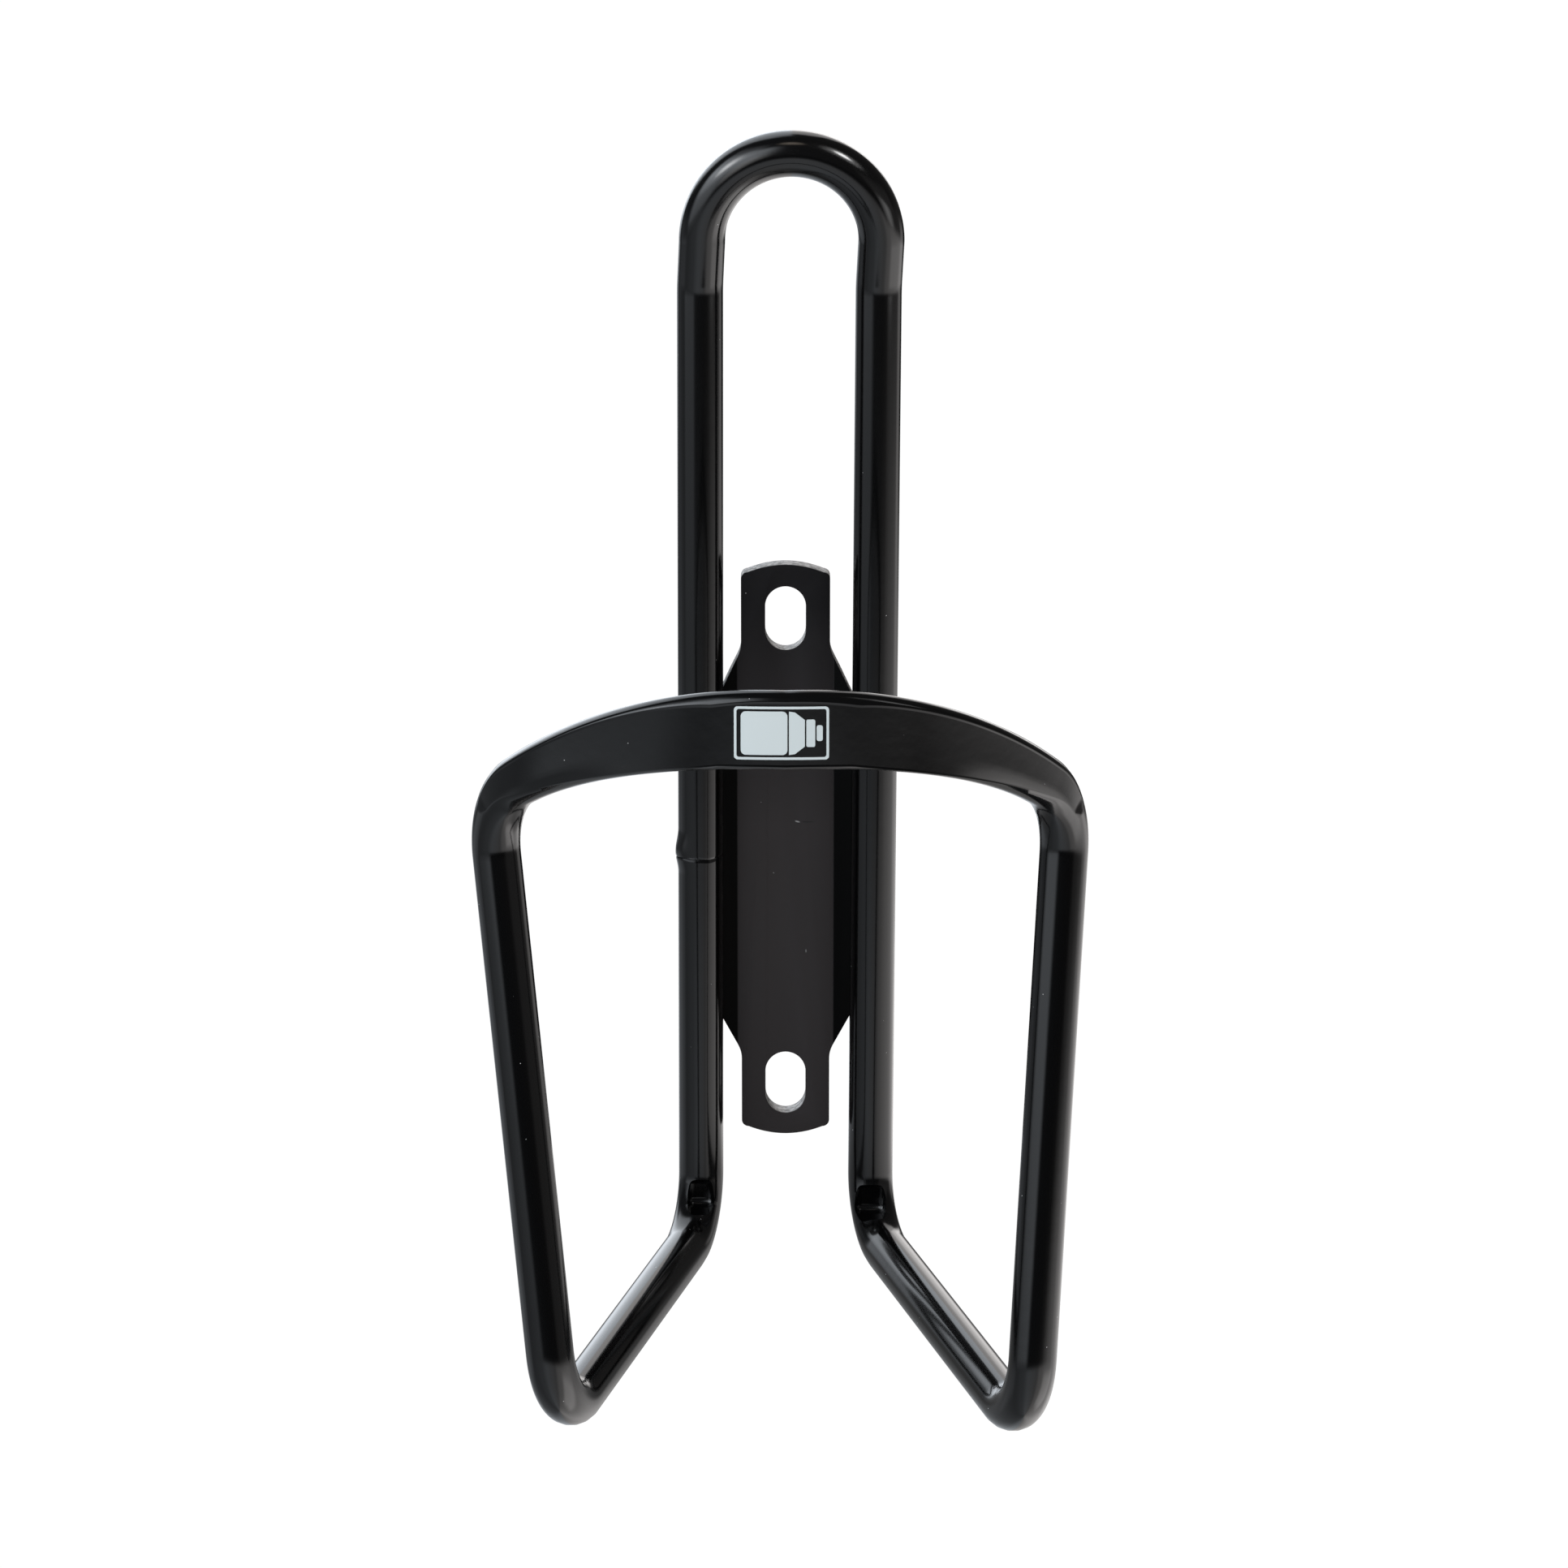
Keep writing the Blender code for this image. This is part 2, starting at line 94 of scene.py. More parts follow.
def rail_foot(side):
    return Vector((side * RAIL_X_FOOT, RAIL_Y, RAIL_FOOT))


def rail_top(side):
    return Vector((side * RAIL_X_TOP + TONGUE_SHIFT, RAIL_Y, RAIL_TOP))


def rail_point(side, height):
    return rail_foot(side).lerp(rail_top(side), (height - RAIL_FOOT) / (RAIL_TOP - RAIL_FOOT))


def toe_corner(side):
    point = around_bottle(TOE_ANGLE, TOE_HEIGHT - side * TOE_TILT, HUG_RADIUS)
    point.x = side * point.x + TOE_SHIFT
    return point


def hoop_point(side, angle):
    share = 1.0 - angle / SHOULDER_ANGLE
    eased = share * share * (3 - 2 * share)
    point = around_bottle(angle, 0.0, HUG_RADIUS + (HOOP_RADIUS - HUG_RADIUS) * eased)
    shoulder_y = around_bottle(SHOULDER_ANGLE, 0.0, HUG_RADIUS).y
    climb = (point.y - shoulder_y) / (BOTTLE_Y - HOOP_RADIUS - shoulder_y)
    crown = HOOP_CROWN * math.sin(math.pi * share)
    point.z = SHOULDER_HEIGHT + (HOOP_HEIGHT - SHOULDER_HEIGHT) * climb + crown
    point.x = side * point.x + HOOP_SHIFT * (1 - share) ** 2
    return point


def arch_points(side, steps=60):
    up = Vector((0.0, -math.sin(math.radians(TONGUE_LEAN)), math.cos(math.radians(TONGUE_LEAN))))
    centre = Vector((TONGUE_SHIFT + TONGUE_TILT, RAIL_Y, RAIL_TOP)) + up * TONGUE_LENGTH
    turns = [math.pi / 2 * n / steps for n in range(steps + 1)]
    return [
        centre + Vector((side * RAIL_X_TOP * math.cos(a), 0, 0)) + up * RAIL_X_TOP * math.sin(a)
        for a in turns
    ]


def bezier(first, leave, arrive, last, steps=40):
    points = []
    for n in range(steps + 1):
        t = n / steps
        s = 1 - t
        points.append(first * s**3 + leave * (3 * s * s * t) + arrive * (3 * s * t * t) + last * t**3)
    return points


def rounded(corner, one_way, other_way, radius):
    a = (one_way - corner).normalized()
    b = (other_way - corner).normalized()
    turn = math.pi - a.angle(b)
    reach = radius * math.tan(turn / 2)
    handle = 4 / 3 * math.tan(turn / 4) * radius
    first = corner + a * reach
    last = corner + b * reach
    return bezier(first, first - a * handle, last - b * handle, last)


def shoulder_bend(side):
    corner = hoop_point(side, SHOULDER_ANGLE)
    leg = (toe_corner(side) - corner).normalized()
    hoop = (hoop_point(side, SHOULDER_ANGLE - 1) - corner).normalized()
    turn = math.pi - leg.angle(hoop)
    reach = SHOULDER_BEND * math.tan(turn / 2)
    handle = 4 / 3 * math.tan(turn / 4) * SHOULDER_BEND
    angle = SHOULDER_ANGLE - math.degrees(reach / HUG_RADIUS)
    last = hoop_point(side, angle)
    onward = (hoop_point(side, angle - 1) - last).normalized()
    first = corner + leg * reach
    return bezier(first, first - leg * handle, last - onward * handle, last), angle


def lower_half(side):
    foot = rounded(rail_foot(side), rail_top(side), toe_corner(side), FOOT_BEND)
    toe = rounded(toe_corner(side), rail_foot(side), hoop_point(side, SHOULDER_ANGLE), TOE_BEND)
    shoulder, angle = shoulder_bend(side)
    return foot + toe + shoulder + [hoop_point(side, angle * (1 - n / 160)) for n in range(1, 160)]


def upper_half(side):
    arch = arch_points(side)
    return rounded(rail_top(side), rail_foot(side), arch[0], TONGUE_BEND) + arch[:-1]


def whole_route():
    points = [rail_point(-1, SEAM_HEIGHT + 0.05)] + upper_half(-1) + [arch_points(1)[-1]]
    points += upper_half(1)[::-1] + lower_half(1) + [hoop_point(1, 0.0)] + lower_half(-1)[::-1]
    return points + [rail_point(-1, SEAM_HEIGHT - 0.05)]


def resampled(points, spacing):
    """Points spaced by arc length; spacing gives the step wanted at each place."""
    lengths = [0.0]
    for a, b in zip(points, points[1:]):
        lengths.append(lengths[-1] + (b - a).length)
    result = [points[0].copy()]
    at = 0.0
    n = 0
    while True:
        at += spacing(result[-1])
        if at > lengths[-1] - spacing(points[-1]) * 0.6:
            break
        while lengths[n + 1] < at:
            n += 1
        share = (at - lengths[n]) / (lengths[n + 1] - lengths[n])
        result.append(points[n].lerp(points[n + 1], share))
    result.append(points[-1].copy())
    return result


def ring_step(point):
    """Fine round the feet, the seam and the bends, wide on the straight runs."""
    for side in (-1, 1):
        if (point - rail_foot(side)).length < 14 or (point - rail_top(side)).length < 9:
            return 0.22
        if (point - toe_corner(side)).length < 10:
            return 0.4
    if (point - rail_point(-1, SEAM_HEIGHT)).length < 6:
        return 0.16
    if abs(point.y - RAIL_Y) < 0.01 and point.z < RAIL_TOP:
        return 1.2
    return 0.6


route = resampled(whole_route(), ring_step)
print("rings along the tube:", len(route))

# %% [markdown]
# The section is a circle on most of the tube. Round the front a press has flattened it, so the outer
# side is a flat band with a broad rounding above and a tight corner below. The loft joins unlike
# sections, so its rings are placed one by one and not extruded from one profile.

# %% section
def ease(x):
    x = min(max(x, 0.0), 1.0)
    return x * x * (3 - 2 * x)


def hoop_share(point):
    """0 on the round tube, rising to 1 in the middle of the hoop."""
    if point.z < SHOULDER_HEIGHT or point.y > around_bottle(SHOULDER_ANGLE, 0.0, HUG_RADIUS).y:
        return 0.0
    angle = math.degrees(math.atan2(abs(point.x), BOTTLE_Y - point.y))
    return min(max(1.0 - angle / SHOULDER_ANGLE, 0.0), 1.0)


FACE = 11
ARC = 9
LIP = 0.05


def side_curve(up, wide, centre_up, round_up, centre_low, round_low, flat):
    """Distance out from the middle at a height on the band, flattened where the press met it."""
    reach = wide
    if up > centre_up:
        reach = wide * math.sqrt(max(0.0, 1 - ((up - centre_up) / round_up) ** 2))
    if up < -centre_low:
        reach = wide * math.sqrt(max(0.0, 1 - ((-up - centre_low) / round_low) ** 2))
    return min(reach, flat)


def tube_section(share):
    """Corner points of one ring as (outwards, upwards) pairs."""
    half = TUBE_RADIUS + (HOOP_HALF - TUBE_RADIUS) * ease(share / 0.92)
    flat = TUBE_RADIUS - (TUBE_RADIUS - HOOP_HALF_THICK) * (1 - (1 - share) ** 2)
    wide = max(1.39 + (TUBE_RADIUS - 1.39) * min(1.0, max(0.0, (0.8 - share) / 0.65)), flat * 1.001)
    round_up = TUBE_RADIUS - 1.1 * ease(share / 0.6)
    round_low = TUBE_RADIUS - 2.1 * ease(share / 0.6)
    up_centre = half - round_up
    low_centre = half - round_low
    crease = max(math.acos(min(1.0, flat / wide)), math.radians(16))
    top = up_centre + round_up * math.sin(crease)
    low = -low_centre - round_low * math.sin(crease)
    nip = 0.12
    ups = [low + nip, low + 2 * nip]
    ups += [low + 2 * nip + (top - low - 5 * nip) * n / (FACE - 3) for n in range(1, FACE - 3)]
    ups += [top - 3 * nip, top - 2 * nip, top - nip]

    def out_at(up):
        return side_curve(up, wide, up_centre, round_up, low_centre, round_low, flat)

    dip = LIP * ease(share / 0.3)
    under = 0.3 * ease(share / 0.12) * ease((0.52 - share) / 0.25)

    def foot_fall(up):
        """How far the band's foot falls back near the shoulder, where the press let go of it."""
        return under * max(0.0, (-up / half - 0.3) / 0.6) ** 2

    def face_at(up):
        """The flat side, with a pressed lip along its top."""
        return out_at(up) - (dip if up < top - 1.5 * nip else 0.0) - foot_fall(up)

    ring = [(face_at(up), up) for up in ups]
    for n in range(ARC):
        turn = crease + 0.03 + (math.pi - 2 * crease - 0.06) * n / (ARC - 1)
        ring.append((wide * math.cos(turn), up_centre + round_up * math.sin(turn)))
    ring += [(-out_at(up), up) for up in reversed(ups)]
    for n in range(ARC):
        turn = math.pi + crease + 0.03 + (math.pi - 2 * crease - 0.06) * n / (ARC - 1)
        low_up = -low_centre + round_low * math.sin(turn)
        ring.append((wide * math.cos(turn) - foot_fall(low_up) * max(0.0, math.cos(turn)), low_up))
    return ring


def ring_frames(points):
    """Outward and upward directions, set by the bottle on the hoop and carried on without twist."""
    last = len(points) - 1
    tangents = [(points[min(n + 1, last)] - points[max(n - 1, 0)]).normalized() for n in range(last + 1)]
    shares = [hoop_share(p) for p in points]
    front = max(range(last + 1), key=lambda n: shares[n])
    frames = [None] * (last + 1)

    def radial(n):
        away = points[n] - Vector((0.0, BOTTLE_Y, points[n].z))
        return (away - tangents[n] * away.dot(tangents[n])).normalized()

    for order in (range(front, last + 1), range(front - 1, -1, -1)):
        out = radial(front)
        for n in order:
            if shares[n] > 0:
                out = radial(n)
            else:
                out = (out - tangents[n] * out.dot(tangents[n])).normalized()
            frames[n] = (out, tangents[n].cross(out))
    return frames


def seam_wave(turn):
    """How far the sawn end wanders from square, going round the tube."""
    return 0.13 * math.sin(turn + 0.6) + 0.06 * math.sin(3 * turn + 2) + 0.035 * math.sin(7 * turn)


def seam_change(point, out, up, a, b):
    """Moves a wall point near the seam: a wandering, rounded end, and a lump left on the outer side."""
    along = (rail_top(-1) - rail_foot(-1)).normalized()
    offset = (point - rail_point(-1, SEAM_HEIGHT)).dot(along)
    across = out * a + up * b
    turn = math.atan2(across.y, across.x)
    nearby = ease(1 - abs(offset) / 1.6)
    inset = 0.1 * max(0.0, 1 - abs(offset) / 0.17) ** 2
    lump = 0.36 * ease(1 - abs(offset - 0.6) / 3.0) * ease(2.2 * (-across.x / TUBE_RADIUS) - 1.2)
    return across * (1 + (lump - inset) / TUBE_RADIUS) + along * seam_wave(turn) * nearby


def tube_mesh():
    bm = bmesh.new()
    rings = []
    for point, (out, up) in zip(route, ring_frames(route)):
        ring = []
        near_seam = (point - rail_point(-1, SEAM_HEIGHT)).length < 5
        for a, b in tube_section(hoop_share(point)):
            across = seam_change(point, out, up, a, b) if near_seam else out * a + up * b
            ring.append(bm.verts.new((point + across) * MM))
        rings.append(ring)
    sides = len(rings[0])
    for first, last in zip(rings, rings[1:]):
        for k in range(sides):
            m = (k + 1) % sides
            bm.faces.new((first[k], first[m], last[m], last[k]))
    bm.faces.new(rings[0][::-1])
    bm.faces.new(rings[-1])
    bmesh.ops.recalc_face_normals(bm, faces=bm.faces)
    data = bpy.data.meshes.new("bent_tube")
    bm.to_mesh(data)
    bm.free()
    obj = bpy.data.objects.new("bent_tube", data)
    bpy.context.scene.collection.objects.link(obj)
    return obj


def select_only(obj):
    bpy.ops.object.select_all(action="DESELECT")
    obj.select_set(True)
    bpy.context.view_layer.objects.active = obj


def die_mark(side, height, wide, tall, depth, turn):
    """The block whose corner has pressed a pocket into the front of a foot bend."""
    bpy.ops.object.select_all(action="DESELECT")
    bpy.ops.mesh.primitive_cube_add(size=1)
    block = bpy.context.object
    block.data.transform(Matrix.Diagonal((wide * MM, 4 * MM, tall * MM, 1)))
    soft = block.modifiers.new("soft", "BEVEL")
    soft.width = 1.0 * MM
    soft.segments = 5
    bpy.ops.object.modifier_apply(modifier="soft")
    tip = Matrix.Rotation(math.radians(turn), 4, "X")
    place = Vector((side * RAIL_X_FOOT, RAIL_Y - TUBE_RADIUS - 2 + depth, height)) * MM
    block.data.transform(Matrix.Translation(place) @ tip)
    return block


def apply_boolean(obj, tool, operation):
    modifier = obj.modifiers.new("cut", "BOOLEAN")
    modifier.operation = operation
    modifier.solver = "EXACT"
    modifier.object = tool
    select_only(obj)
    bpy.ops.object.modifier_apply(modifier=modifier.name)
    bpy.data.objects.remove(tool)


tube = tube_mesh()
apply_boolean(tube, die_mark(-1, -46.0, 3.6, 4.0, 0.9, 12), "DIFFERENCE")
apply_boolean(tube, die_mark(1, -46.8, 4.2, 4.2, 0.9, 12), "DIFFERENCE")
select_only(tube)
bpy.ops.object.shade_smooth_by_angle(angle=math.radians(50))
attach(tube, "root")
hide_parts("cage_tube")
print("tube faces:", len(tube.data.polygons))

# %% [markdown]
# The mounting plate is a pressing: a flat web, two narrow tabs with slots for the bolts, and edges
# folded forward to meet the rails. A slab is folded, then trimmed by an outline and punched, and
# the cut edges are eased a little.

# %% plate
def rail_x(height):
    return (abs(rail_point(-1, height).x) + rail_point(1, height).x) / 2


FLANGE_SHORT = 1.6
FLANGE_HALF_HEIGHT = 22.5
FLANGE_TAPER = 5.2
EDGE_X = rail_x(0.0) - FLANGE_SHORT
SLOPE = math.atan2(RAIL_SETBACK, rail_x(0.0) - WEB_HALF)


def prism(name, outline, low, high):
    """Draws an outline seen from the front, fills it and pulls it through from low to high in y."""
    data = bpy.data.meshes.new(name)
    obj = bpy.data.objects.new(name, data)
    bpy.context.scene.collection.objects.link(obj)
    count = len(outline)
    corners = [(x * MM, low * MM, z * MM) for x, z in outline]
    data.from_pydata(corners, [(n, (n + 1) % count) for n in range(count)], [])
    select_only(obj)
    bpy.ops.object.mode_set(mode="EDIT")
    bpy.ops.mesh.select_all(action="SELECT")
    bpy.ops.mesh.edge_face_add()
    bpy.ops.mesh.extrude_region_move(TRANSFORM_OT_translate={"value": (0, (high - low) * MM, 0)})
    bpy.ops.mesh.select_all(action="SELECT")
    bpy.ops.mesh.normals_make_consistent(inside=False)
    bpy.ops.object.mode_set(mode="OBJECT")
    return obj


def folded_slab():
    bpy.ops.object.select_all(action="DESELECT")
    bpy.ops.mesh.primitive_cube_add(size=1)
    slab = bpy.context.object
    slab.name = "plate_pressing"
    tall = 2 * (PLATE_HALF_HEIGHT + 2)
    slab.data.transform(Matrix.Diagonal((2 * EDGE_X * MM, PLATE_THICKNESS * MM, tall * MM, 1)))
    slab.data.transform(Matrix.Translation((0, -PLATE_THICKNESS / 2 * MM, 0)))
    mitre = math.tan(SLOPE / 2)
    bpy.ops.object.mode_set(mode="EDIT")
    for side in (-1, 1):
        bpy.ops.mesh.select_all(action="SELECT")
        place = (side * WEB_HALF * MM, -PLATE_THICKNESS * MM, 0)
        bpy.ops.mesh.bisect(plane_co=place, plane_no=(side, -mitre, 0))
    bpy.ops.object.mode_set(mode="OBJECT")
    for v in slab.data.vertices:
        x = abs(v.co.x) / MM
        if x > EDGE_X - 0.01:
            front = -PLATE_THICKNESS - (EDGE_X - WEB_HALF) * math.tan(SLOPE)
            back = front + PLATE_THICKNESS / math.cos(SLOPE)
            v.co.y = (front if v.co.y < -PLATE_THICKNESS / 2 * MM else back) * MM
    return slab


def shoulder_drop(x):
    return FLANGE_TAPER * (x - TAB_HALF) / (rail_x(0.0) - TUBE_RADIUS - TAB_HALF)


def plate_outline():
    wide = EDGE_X + 1.0
    start = FLANGE_HALF_HEIGHT + FLANGE_TAPER
    quarter = [(wide, start - shoulder_drop(wide)), (TAB_HALF + 0.45, start - shoulder_drop(TAB_HALF + 0.45))]
    for n in range(1, 6):
        t = n / 5
        s = 1 - t
        first = quarter[1]
        x = first[0] * s * s + TAB_HALF * 2 * s * t + TAB_HALF * t * t
        z = first[1] * s * s + start * 2 * s * t + (start + 0.9) * t * t
        quarter.append((x, z))
    corner = 0.9
    end = TAB_HALF - corner
    crown = PLATE_HALF_HEIGHT - 1.4 * (end / TAB_HALF) ** 2
    for n in range(9):
        turn = math.pi / 2 * n / 8
        quarter.append((end + corner * math.cos(turn), crown - corner + corner * math.sin(turn)))
    for n in range(1, 17):
        x = end * (1 - n / 16)
        quarter.append((x, PLATE_HALF_HEIGHT - 1.4 * (x / TAB_HALF) ** 2))
    upper = quarter + [(-x, z) for x, z in quarter[:-1]][::-1]
    return upper + [(x, -z) for x, z in upper][::-1]


def slot_outline(height):
    radius = SLOT_WIDTH / 2
    straight = (SLOT_LENGTH - SLOT_WIDTH) / 2
    points = []
    for centre, start in ((height + straight, 0.0), (height - straight, math.pi)):
        for n in range(25):
            turn = start + math.pi * n / 24
            points.append((radius * math.cos(turn), centre + radius * math.sin(turn)))
    return points


def rail_stick(side):
    bpy.ops.object.select_all(action="DESELECT")
    bpy.ops.mesh.primitive_cylinder_add(vertices=96, radius=(TUBE_RADIUS + 0.02) * MM, depth=0.12)
    stick = bpy.context.object
    along = (rail_top(side) - rail_foot(side)).normalized()
    turn = Vector((0, 0, 1)).rotation_difference(along).to_matrix().to_4x4()
    stick.data.transform(Matrix.Translation(rail_point(side, 0.0) * MM) @ turn)
    return stick


plate = folded_slab()
apply_boolean(plate, prism("outline", plate_outline(), -30, 10), "INTERSECT")
for height in (BOLT_SPACING / 2, -BOLT_SPACING / 2):
    apply_boolean(plate, prism("slot", slot_outline(height), -30, 10), "DIFFERENCE")
for side in (-1, 1):
    apply_boolean(plate, rail_stick(side), "DIFFERENCE")
easing = plate.modifiers.new("easing", "BEVEL")
easing.width = 0.22 * MM
easing.segments = 3
easing.limit_method = "ANGLE"
easing.angle_limit = math.radians(30)
select_only(plate)
bpy.ops.object.modifier_apply(modifier="easing")
bpy.ops.object.shade_smooth_by_angle(angle=math.radians(40))
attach(plate, "root")
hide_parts("mounting_plate")
print("plate faces:", len(plate.data.polygons))

# %% [markdown]
# The label is a thin print on the hoop's flat front: a rounded frame with a plain bottle lying in
# it. It is drawn flat, cut into narrow strips and then wrapped round the hoop.

# %% label
LABEL_HALF_WIDTH = 5.6
LABEL_HALF_HEIGHT = 3.2
LABEL_LINE = 0.3
LABEL_SHIFT = -0.5
LABEL_RISE = -0.15


def rounded_box(half_x, half_z, radius, x0=0.0, z0=0.0, steps=6):
    points = []
    for cx, cz, start in ((1, 1, 0), (-1, 1, 90), (-1, -1, 180), (1, -1, 270)):
        for n in range(steps + 1):
            turn = math.radians(start + 90 * n / steps)
            x = x0 + cx * (half_x - radius) + radius * math.cos(turn)
            points.append((x, z0 + cz * (half_z - radius) + radius * math.sin(turn)))
    return points


def face_radius(angle):
    """Distance of the hoop's flat face from the bottle's axis at this angle from the front."""
    share = 1.0 - abs(math.degrees(angle)) / SHOULDER_ANGLE
    flat = TUBE_RADIUS - (TUBE_RADIUS - HOOP_HALF_THICK) * (1 - (1 - share) ** 2)
    return HUG_RADIUS + (HOOP_RADIUS - HUG_RADIUS) * ease(share) + flat - LIP


def wrap_on_hoop(obj):
    """Bends a flat drawing round the hoop's front face."""
    for v in obj.data.vertices:
        turn = (v.co.x / MM + LABEL_SHIFT) / (HOOP_RADIUS + HOOP_HALF_THICK)
        lift = face_radius(turn) + v.co.y / MM
        z = v.co.z / MM + HOOP_HEIGHT + LABEL_RISE
        v.co = Vector((lift * math.sin(turn), BOTTLE_Y - lift * math.cos(turn), z)) * MM


def label_shape(name, outline):
    return prism(name, outline, -0.05, 0.05)


label = label_shape("front_label", rounded_box(LABEL_HALF_WIDTH, LABEL_HALF_HEIGHT, 0.45))
hole = prism("inner", rounded_box(LABEL_HALF_WIDTH - LABEL_LINE, LABEL_HALF_HEIGHT - LABEL_LINE, 0.3), -1, 1)
apply_boolean(label, hole, "DIFFERENCE")
bottle_parts = [
    rounded_box(2.75, 2.62, 0.6, -2.05, 0.0),
    [(0.88, -2.62), (1.6, -2.5), (2.75, -1.6), (2.75, 1.6), (1.6, 2.5), (0.88, 2.62)],
    rounded_box(0.52, 1.65, 0.2, 3.45, 0.0),
    rounded_box(0.36, 0.95, 0.25, 4.5, 0.0),
]
bits = [label_shape("bit", outline) for outline in bottle_parts]
bpy.ops.object.select_all(action="DESELECT")
for bit in bits + [label]:
    bit.select_set(True)
bpy.context.view_layer.objects.active = label
bpy.ops.object.join()
bpy.ops.object.mode_set(mode="EDIT")
for n in range(-12, 13):
    bpy.ops.mesh.select_all(action="SELECT")
    bpy.ops.mesh.bisect(plane_co=(n * 0.45 * MM, 0, 0), plane_no=(1, 0, 0))
bpy.ops.object.mode_set(mode="OBJECT")
wrap_on_hoop(label)
select_only(label)
bpy.ops.object.mode_set(mode="EDIT")
bpy.ops.mesh.select_all(action="SELECT")
bpy.ops.mesh.normals_make_consistent(inside=False)
bpy.ops.object.mode_set(mode="OBJECT")
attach(label, "root")
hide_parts("front_decal")
print("label faces:", len(label.data.polygons))

# %% [markdown]
# Each weld is a row of small overlapping puddles of metal, painted over with the rest. They sit in
# the corner behind the plate, between the folded edge and the rail.

# %% welds
WELD_LENGTH = 9.0
WELD_RADIUS = 0.8


def weld_centre(side, height):
    rail = rail_point(side, height)
    x = side * (EDGE_X + 0.1 + WELD_RADIUS * 0.8)
    away = TUBE_RADIUS + WELD_RADIUS * 0.75
    return Vector((x, rail.y + math.sqrt(away**2 - (rail.x - x) ** 2), height))


def weld_bead(name, side, sign):
    middle = sign * (FLANGE_HALF_HEIGHT - FLANGE_SHORT - 1.0 - WELD_LENGTH / 2)
    drops = []
    for n in range(9):
        share = n / 8
        place = weld_centre(side, middle + (share - 0.5) * (WELD_LENGTH - 1.6))
        bpy.ops.object.select_all(action="DESELECT")
        bpy.ops.mesh.primitive_uv_sphere_add(segments=20, ring_count=12, radius=WELD_RADIUS * MM)
        drop = bpy.context.object
        swell = 0.9 + 0.12 * math.sin(n * 2.3 + side)
        shape = Matrix.Diagonal((1.15 * swell, 1.0 * swell, 0.85, 1))
        drop.data.transform(Matrix.Translation(place * MM) @ shape)
        drops.append(drop)
    bpy.ops.object.select_all(action="DESELECT")
    for drop in drops:
        drop.select_set(True)
    bpy.context.view_layer.objects.active = drops[0]
    bpy.ops.object.join()
    bead = bpy.context.object
    bead.name = name
    skin = bead.modifiers.new("skin", "REMESH")
    skin.mode = "VOXEL"
    skin.voxel_size = 0.09 * MM
    bpy.ops.object.modifier_apply(modifier="skin")
    soft = bead.modifiers.new("soft", "SMOOTH")
    soft.iterations = 3
    bpy.ops.object.modifier_apply(modifier="soft")
    bpy.ops.object.shade_smooth()
    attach(bead, "root")
    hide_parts(name.replace("bead", "plate_weld"))
    return bead


beads = []
for sign, level in ((1, "upper"), (-1, "lower")):
    for side, hand in ((-1, "left"), (1, "right")):
        beads.append(weld_bead(f"bead_{level}_{hand}", side, sign))
print("welds:", [bead.name for bead in beads])

# %% [markdown]
# The seam ring closes the tube where its ends meet on the left rail. It shows as a fine line.

# %% seam
bpy.ops.object.select_all(action="DESELECT")
bpy.ops.mesh.primitive_torus_add(
    major_segments=64, minor_segments=12,
    major_radius=(TUBE_RADIUS - 0.13) * MM, minor_radius=0.12 * MM,
)
seam = bpy.context.object
seam.name = "seam_ring"
along = (rail_top(-1) - rail_foot(-1)).normalized()
turn = Vector((0, 0, 1)).rotation_difference(along).to_matrix().to_4x4()
seam.data.transform(Matrix.Translation(rail_point(-1, SEAM_HEIGHT) * MM) @ turn)
bpy.ops.object.shade_smooth()
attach(seam, "root")
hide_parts("butt_weld")
print("seam faces:", len(seam.data.polygons))

# %% [markdown]
# Black paint: almost no colour of its own, a smooth wet-looking film with a faint orange peel and a
# little dust. The plate's paint is duller, and its colour is greyer low down and darker towards the
# top. Its folded edges are painted near black, a painted shade for the dark gap between rail and web,
# and its cut edges near the ends are painted light grey: partly bare metal, partly a painted
# highlight where the eased edges catch the light.
# All of it is noise and simple masks read in the object's own coordinates, so it needs no unwrapping.

# %% materials
def shader_of(name):
    made = bpy.data.materials.new(name)
    made.use_nodes = True
    nodes = made.node_tree.nodes
    return made, nodes, made.node_tree.links, nodes["Principled BSDF"]


def map_range(nodes, links, value, low, high, to_low=0.0, to_high=1.0):
    node = nodes.new("ShaderNodeMapRange")
    links.new(value, node.inputs["Value"])
    for name, level in (("From Min", low), ("From Max", high), ("To Min", to_low), ("To Max", to_high)):
        node.inputs[name].default_value = level
    return node.outputs["Result"]


def mixed(nodes, links, share, below, above):
    """One colour turning into another; each is a colour or another node's output."""
    node = nodes.new("ShaderNodeMix")
    node.data_type = "RGBA"
    links.new(share, node.inputs[0])
    for socket, value in ((6, below), (7, above)):
        if isinstance(value, tuple):
            node.inputs[socket].default_value = (*value, 1)
        else:
            links.new(value, node.inputs[socket])
    return node.outputs[2]


def dust(nodes, links, place):
    """Sparse specks, each a tenth of a millimetre across or less."""
    specks = nodes.new("ShaderNodeTexVoronoi")
    specks.inputs["Scale"].default_value = 1 / (2.3 * MM)
    links.new(place, specks.inputs["Vector"])
    return map_range(nodes, links, specks.outputs["Distance"], 0.034, 0.022)


